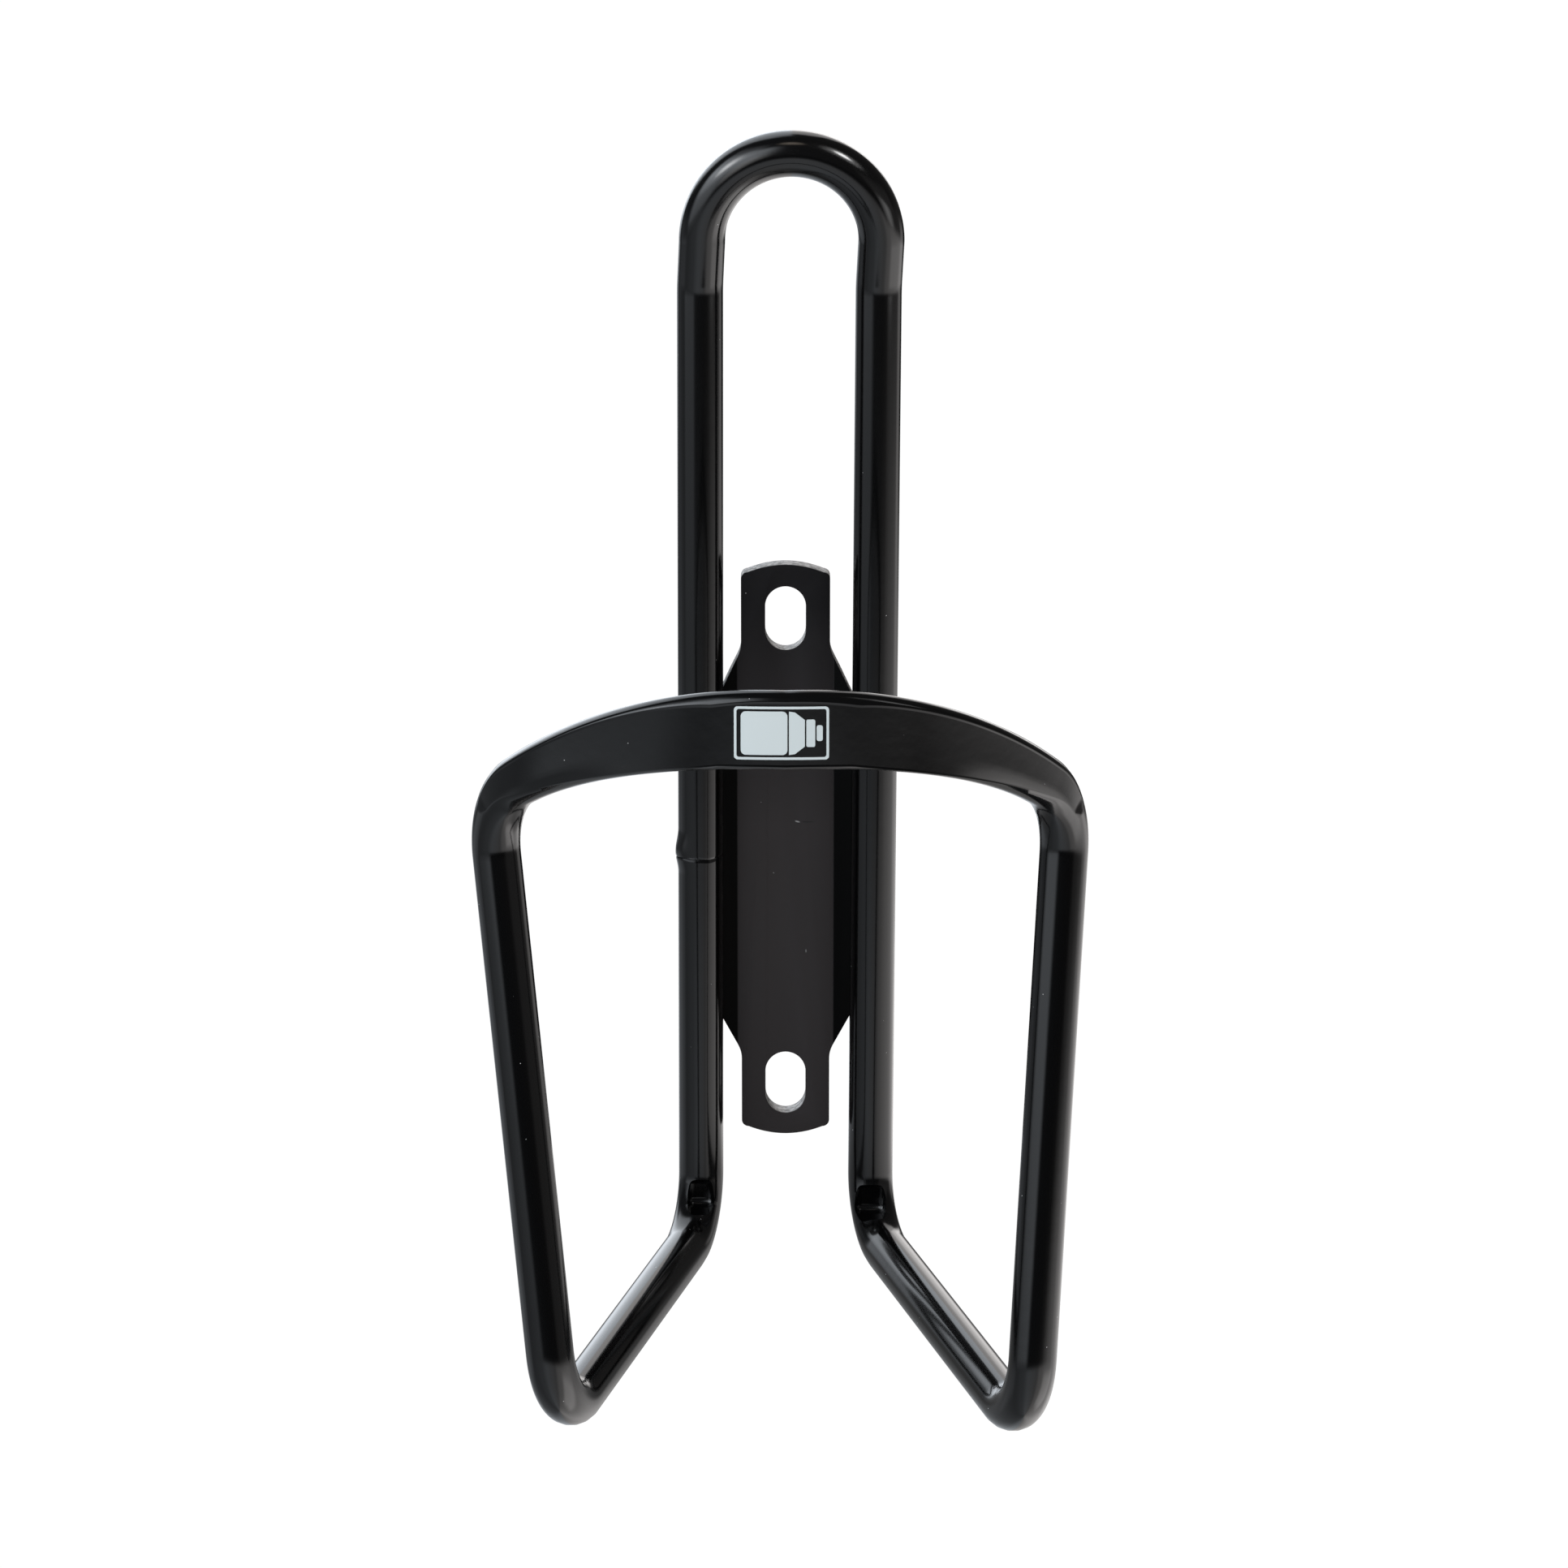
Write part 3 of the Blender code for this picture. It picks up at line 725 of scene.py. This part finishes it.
def paint(name, colour, rough, peel_size, peel, grain, dusty=True):
    made, nodes, links, shader = shader_of(name)
    place = nodes.new("ShaderNodeTexCoord")
    peel_noise = nodes.new("ShaderNodeTexNoise")
    peel_noise.inputs["Scale"].default_value = 1 / (peel_size * MM)
    peel_noise.inputs["Detail"].default_value = 2
    links.new(place.outputs["Object"], peel_noise.inputs["Vector"])
    grain_noise = nodes.new("ShaderNodeTexNoise")
    grain_noise.inputs["Scale"].default_value = 1 / (0.12 * MM)
    grain_noise.inputs["Detail"].default_value = 3
    links.new(place.outputs["Object"], grain_noise.inputs["Vector"])
    first = nodes.new("ShaderNodeBump")
    where = nodes.new("ShaderNodeSeparateXYZ")
    links.new(place.outputs["Object"], where.inputs["Vector"])
    coarser = map_range(nodes, links, where.outputs["Y"], -64 * MM, -76 * MM, peel, 2.4 * peel)
    links.new(coarser, first.inputs["Strength"])
    first.inputs["Distance"].default_value = 0.05 * MM
    links.new(peel_noise.outputs["Fac"], first.inputs["Height"])
    second = nodes.new("ShaderNodeBump")
    second.inputs["Strength"].default_value = grain
    second.inputs["Distance"].default_value = 0.01 * MM
    links.new(grain_noise.outputs["Fac"], second.inputs["Height"])
    links.new(first.outputs["Normal"], second.inputs["Normal"])
    links.new(second.outputs["Normal"], shader.inputs["Normal"])
    if dusty:
        specks = dust(nodes, links, place.outputs["Object"])
        links.new(mixed(nodes, links, specks, colour, (0.35, 0.35, 0.35)), shader.inputs["Base Color"])
    shader.inputs["Roughness"].default_value = rough
    return made


gloss = paint("gloss black paint", (0.0008, 0.0008, 0.0009), 0.14, 1.6, 0.05, 0.0)
satin = paint("satin black paint", (0.0014, 0.001, 0.001), 0.5, 0.9, 0.1, 0.12, dusty=False)
print_ink = paint("pale print", (0.435, 0.48, 0.485), 0.5, 1.0, 0.05, 0.1)
pin_metal, nodes, links, shader = shader_of("drawn aluminium")
shader.inputs["Base Color"].default_value = (0.6, 0.6, 0.62, 1)
shader.inputs["Metallic"].default_value = 1
stretch = nodes.new("ShaderNodeMapping")
stretch.inputs["Scale"].default_value = (8, 8, 0.4)
links.new(nodes.new("ShaderNodeTexCoord").outputs["Object"], stretch.inputs["Vector"])
drawn = nodes.new("ShaderNodeTexNoise")
drawn.inputs["Scale"].default_value = 1 / MM
links.new(stretch.outputs["Vector"], drawn.inputs["Vector"])
links.new(map_range(nodes, links, drawn.outputs["Fac"], 0.3, 0.7, 0.25, 0.45), shader.inputs["Roughness"])


def dress(obj, made):
    obj.data.materials.clear()
    obj.data.materials.append(made)


for obj in [tube, seam] + beads:
    dress(obj, gloss)
dress(plate, satin)
nodes = satin.node_tree.nodes
links = satin.node_tree.links
shader = nodes["Principled BSDF"]
place = nodes["Texture Coordinate"].outputs["Object"]
split = nodes.new("ShaderNodeSeparateXYZ")
links.new(place, split.inputs["Vector"])
beside = nodes.new("ShaderNodeMath")
beside.operation = "ABSOLUTE"
links.new(split.outputs["X"], beside.inputs[0])
folded = map_range(nodes, links, beside.outputs[0], (WEB_HALF - 0.1) * MM, (WEB_HALF + 0.1) * MM)
raised = map_range(nodes, links, split.outputs["Z"], 4 * MM, 34 * MM)


def mark(centre, reach, turn):
    """A short mark on the front of the web: its middle, half its length and width, and its slant."""
    node = nodes.new("ShaderNodeMapping")
    node.vector_type = "TEXTURE"
    node.inputs["Location"].default_value = (centre[0] * MM, -PLATE_THICKNESS * MM, centre[1] * MM)
    node.inputs["Rotation"].default_value = (0, math.radians(turn), 0)
    node.inputs["Scale"].default_value = (reach[0] * MM, MM, reach[1] * MM)
    links.new(place, node.inputs["Vector"])
    away = nodes.new("ShaderNodeVectorMath")
    away.operation = "LENGTH"
    links.new(node.outputs["Vector"], away.inputs[0])
    return map_range(nodes, links, away.outputs["Value"], 1.0, 0.5)


def fold(value, about):
    """How far a length is from a middle value, whichever side it is on."""
    away = nodes.new("ShaderNodeMath")
    away.operation = "SUBTRACT"
    away.inputs[1].default_value = about
    links.new(value, away.inputs[0])
    size = nodes.new("ShaderNodeMath")
    size.operation = "ABSOLUTE"
    links.new(away.outputs[0], size.inputs[0])
    return size.outputs[0]


def joined(operation, one, other):
    """One number made from two others."""
    node = nodes.new("ShaderNodeMath")
    node.operation = operation
    links.new(one, node.inputs[0])
    links.new(other, node.inputs[1])
    return node.outputs[0]


WEB_LOW = (0.0145, 0.0118, 0.0122)
WEB_HIGH = (0.0014, 0.0011, 0.0016)
# Painted shade: the folded edges are coloured near black for the dark gap between rail and web.
FOLDED_EDGE_SHADE = (0.0005, 0.0005, 0.0005)
# Light grey for the cut edges near the ends: partly bare metal, partly a painted highlight where the eased
# edges catch the light.
BARE_METAL_AND_HIGHLIGHT = (0.3, 0.29, 0.28)
SPECK = (0.2, 0.2, 0.2)
MARKS = [
    ((3.0, 4.25), (1.1, 0.1), 0, (0.002, 0.002, 0.002)),
    ((1.6, 4.3), (0.42, 0.12), 14, (0.2, 0.2, 0.2)),
    ((2.75, -13.6), (0.1, 0.3), 0, (0.12, 0.12, 0.12)),
]
# The web's colour is greyer low down and darker towards the top.
web = mixed(nodes, links, raised, WEB_LOW, WEB_HIGH)
for centre, reach, turn, tone in MARKS:
    web = mixed(nodes, links, mark(centre, reach, turn), web, tone)
web = mixed(nodes, links, dust(nodes, links, place), web, SPECK)
# The folded edges take the painted shade colour.
body = mixed(nodes, links, folded, web, FOLDED_EDGE_SHADE)
# The cut edges near the ends are painted light grey, broken up by noise: partly bare metal, partly a painted
# highlight.
edge_noise = nodes.new("ShaderNodeTexNoise")
edge_noise.inputs["Scale"].default_value = 1 / (0.6 * MM)
edge_noise.inputs["Detail"].default_value = 4
links.new(place, edge_noise.inputs["Vector"])
half_thick = PLATE_THICKNESS / 2
in_wall = fold(split.outputs["Y"], -half_thick * MM)
in_wall = map_range(nodes, links, in_wall, (half_thick - 0.12) * MM, (half_thick - 0.35) * MM)
near_end = map_range(nodes, links, fold(split.outputs["Z"], 0), 15 * MM, 19 * MM)
edge_breakup = map_range(nodes, links, edge_noise.outputs["Fac"], 0.42, 0.58, 0.25)
chalk_and_highlight = joined("MULTIPLY", joined("MULTIPLY", in_wall, near_end), edge_breakup)
links.new(mixed(nodes, links, chalk_and_highlight, body, BARE_METAL_AND_HIGHLIGHT), shader.inputs["Base Color"])
dull = joined("MAXIMUM", folded, map_range(nodes, links, raised, 0, 1, 0, 0.5))
links.new(map_range(nodes, links, dull, 0, 1, 0.4, 0.05), shader.inputs["Specular IOR Level"])
dress(label, print_ink)
dress(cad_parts["joint_spigot"], pin_metal)
print("materials:", [made.name for made in (gloss, satin, print_ink, pin_metal)])

# %% [markdown]
# The studio: a pale table that carries on behind as a backdrop. The paint mirrors the room, so the
# room is drawn by direction: mostly dark, with a tall soft box on the left, a table that glows more
# on the right, and a few dim panels, most of them behind. Six small lamps with narrow beams light
# the top loop and the right rail without reaching the hoop. Real panels would do the same, but each
# edge is easier to place as an angle. Seen straight on, table and room are plain white.

# %% studio
TABLE_TOP = -62.2
UNDER_SHADE = (70, 105)
WHITE = 1.02
bpy.ops.object.select_all(action="DESELECT")
bpy.ops.mesh.primitive_plane_add(size=20)
floor = bpy.context.object
floor.name = "table"
floor.data.transform(Matrix.Translation((0, 0, TABLE_TOP * MM)))
table, nodes, links, shader = shader_of("pale table")
nodes.remove(shader)
place = nodes.new("ShaderNodeTexCoord")
away = nodes.new("ShaderNodeVectorMath")
away.operation = "LENGTH"
links.new(place.outputs["Object"], away.inputs[0])
shade = nodes.new("ShaderNodeMapRange")
shade.interpolation_type = "SMOOTHSTEP"
links.new(away.outputs["Value"], shade.inputs["Value"])
shade.inputs["From Min"].default_value = UNDER_SHADE[1] * MM
shade.inputs["From Max"].default_value = UNDER_SHADE[0] * MM
shade.inputs["To Max"].default_value = 0.8
open_table = nodes.new("ShaderNodeBsdfTransparent")
shaded = nodes.new("ShaderNodeEmission")
shaded.inputs["Strength"].default_value = 0.2
under = nodes.new("ShaderNodeMixShader")
links.new(shade.outputs["Result"], under.inputs["Fac"])
links.new(open_table.outputs["BSDF"], under.inputs[1])
links.new(shaded.outputs["Emission"], under.inputs[2])
white = nodes.new("ShaderNodeEmission")
white.inputs["Strength"].default_value = WHITE
path = nodes.new("ShaderNodeLightPath")
look = nodes.new("ShaderNodeMixShader")
links.new(path.outputs["Is Camera Ray"], look.inputs["Fac"])
links.new(under.outputs["Shader"], look.inputs[1])
links.new(white.outputs["Emission"], look.inputs[2])
links.new(look.outputs["Shader"], nodes["Material Output"].inputs["Surface"])
dress(floor, table)

world = bpy.data.worlds.new("studio")
bpy.context.scene.world = world
world.use_nodes = True
wn = world.node_tree.nodes
wl = world.node_tree.links


def math_node(kind, *values):
    node = wn.new("ShaderNodeMath")
    node.operation = kind
    for n, value in enumerate(values):
        if isinstance(value, (int, float)):
            node.inputs[n].default_value = value
        else:
            wl.new(value, node.inputs[n])
    return node.outputs[0]


def step(value, start, end):
    """0 before start and 1 after end, easing between them; end may come before start."""
    node = wn.new("ShaderNodeMapRange")
    node.interpolation_type = "SMOOTHSTEP"
    wl.new(value, node.inputs["Value"])
    node.inputs["From Min"].default_value = start
    node.inputs["From Max"].default_value = end
    return node.outputs["Result"]


def band(value, low, high, blur):
    return math_node("MULTIPLY", step(value, low - blur, low + blur), step(value, high + blur, high - blur))


def patch(az, el, blur, strength):
    """A soft-edged panel between two azimuths and two elevations, all in degrees."""
    both = math_node("MULTIPLY", band(azimuth, az[0], az[1], blur), band(height, el[0], el[1], blur))
    return math_node("MULTIPLY", both, strength)


def curve(value, low, high, points):
    """A level that follows given points of (position, level)."""
    node = wn.new("ShaderNodeMapRange")
    wl.new(value, node.inputs["Value"])
    node.inputs["From Min"].default_value = low
    node.inputs["From Max"].default_value = high
    ramp = wn.new("ShaderNodeValToRGB")
    ramp.color_ramp.interpolation = "EASE"
    wl.new(node.outputs["Result"], ramp.inputs["Fac"])
    stops = ramp.color_ramp.elements
    while len(stops) < len(points):
        stops.new(0.5)
    for stop, (at, level) in zip(stops, points):
        stop.position = (at - low) / (high - low)
        stop.color = (level, level, level, 1)
    return ramp.outputs["Color"]


direction = wn.new("ShaderNodeTexCoord").outputs["Generated"]
parts = wn.new("ShaderNodeSeparateXYZ")
wl.new(direction, parts.inputs["Vector"])
ahead = math_node("MULTIPLY", parts.outputs["Y"], -1.0)
azimuth = math_node("DEGREES", math_node("ARCTAN2", parts.outputs["X"], ahead))
height = math_node("DEGREES", math_node("ARCSINE", parts.outputs["Z"]))

ROOM = 0.03
TABLE_EDGE = (-9.5, -17.5)
TABLE_LEVELS = [
    (-180, 0.9), (-130, 0.35), (-80, 0.28), (-45, 0.45), (-15, 0.8), (5, 0.75),
    (20, 0.65), (36, 1.15), (100, 1.5), (140, 1.9), (180, 0.9),
]
SOFT_BOX_LEVELS = [
    (-16, 0.0), (-10, 0.45), (-4, 1.2), (6, 1.4), (18, 3.0), (29, 4.5), (40, 3.0), (50, 0.8), (62, 0.0),
]
PANELS = [
    ((-30, -12), (12, 42), 8, 2.6),
    ((45, 120), (-30, 2), 8, 0.16),
    ((38, 92), (2, 18), 6, 0.15),
    ((55, 102), (-65, -24), 8, 1.4),
    ((-190, -124), (18, 75), 8, 2.0),
    ((-190, -138), (-5, 18), 8, 2.4),
    ((-128, -88), (-30, 0), 7, 0.2),
    ((114, 136), (-13, -3), 5, 0.7),
    ((158, 190), (0, 24), 5, 2.2),
    ((155, 190), (26, 62), 4, 1.6),
]
nearer = math_node("MULTIPLY", band(azimuth, 55, 125, 15), 1.5)
below = step(math_node("SUBTRACT", height, nearer), *TABLE_EDGE)
level = math_node("ADD", ROOM, math_node("MULTIPLY", below, curve(azimuth, -180, 180, TABLE_LEVELS)))
level = math_node("ADD", level, math_node("MULTIPLY", step(height, -6, 4), 0.05))
box = math_node("MULTIPLY", band(azimuth, -84, -30, 9), curve(height, -20, 70, SOFT_BOX_LEVELS))
level = math_node("ADD", level, box)
for panel in PANELS:
    level = math_node("ADD", level, patch(*panel))
camera_ray = wn.new("ShaderNodeLightPath").outputs["Is Camera Ray"]
choose = wn.new("ShaderNodeMix")
choose.data_type = "FLOAT"
wl.new(camera_ray, choose.inputs[0])
wl.new(level, choose.inputs[2])
choose.inputs[3].default_value = WHITE
tint = wn.new("ShaderNodeMix")
tint.data_type = "RGBA"
wl.new(camera_ray, tint.inputs[0])
cool = wn.new("ShaderNodeMix")
cool.data_type = "RGBA"
cool.inputs[6].default_value = (0.94, 1.0, 1.07, 1)
cool.inputs[7].default_value = (1.02, 0.99, 0.98, 1)
wl.new(step(azimuth, -25, 45), cool.inputs[0])
wl.new(cool.outputs[2], tint.inputs[6])
tint.inputs[7].default_value = (1, 1, 1, 1)
wl.new(choose.outputs[0], wn["Background"].inputs["Strength"])
wl.new(tint.outputs[2], wn["Background"].inputs["Color"])


def lamp(name, place, aim, wide, tall, watts, beam=180, colour=(1, 1, 1)):
    """An oval soft lamp at place, turned towards aim; places are in millimetres, the beam in degrees."""
    data = bpy.data.lights.new(name, "AREA")
    data.shape = "ELLIPSE"
    data.size = wide * MM
    data.size_y = tall * MM
    data.energy = watts
    data.spread = math.radians(beam)
    data.color = colour
    made = bpy.data.objects.new(name, data)
    bpy.context.scene.collection.objects.link(made)
    made.location = Vector(place) * MM
    towards = (Vector(aim) - Vector(place)) * MM
    made.rotation_euler = towards.to_track_quat("-Z", "Y").to_euler()
    made.visible_camera = False
    return made


ARCH = (0, -9, 95)
fill = lamp("front_fill", (-250, -1100, 550), (0, 0, 0), 600, 600, 8.5)
fill.visible_glossy = False
lamp("left_lamp", (-208, -175, 242), ARCH, 140, 120, 0.0072, 26)
lamp("left_low_lamp", (-89, -241, 121), ARCH, 110, 120, 0.0019, 30)
lamp("right_lamp", (146, -119, 266), ARCH, 180, 150, 0.0077, 36)
lamp("right_spot", (152, -119, 270), (5, -11, 98), 52, 60, 0.0036, 26)
lamp("side_card", (142, -87, 75), (12, -12, 85), 180, 40, 0.0016, 40)
lamp("top_lamp", (0, -146, 308), ARCH, 80, 60, 0.0005, 26, (1, 0.86, 0.72))

# %% [markdown]
# The camera looks from the front and a little above, from about 0.7 m with a long lens.

# %% camera
eye = bpy.data.cameras.new("eye")
eye.lens = 121.1
eye.sensor_width = 36
eye.clip_end = 50
camera = bpy.data.objects.new("eye", eye)
bpy.context.scene.collection.objects.link(camera)
camera.location = (-0.0002, -0.68696, 0.17361)
camera.rotation_euler = (math.radians(76.5), 0, 0)
bpy.context.scene.camera = camera
bpy.context.scene.view_settings.view_transform = "Standard"
print("camera at", [round(c, 4) for c in camera.location], "lens", round(eye.lens, 1))
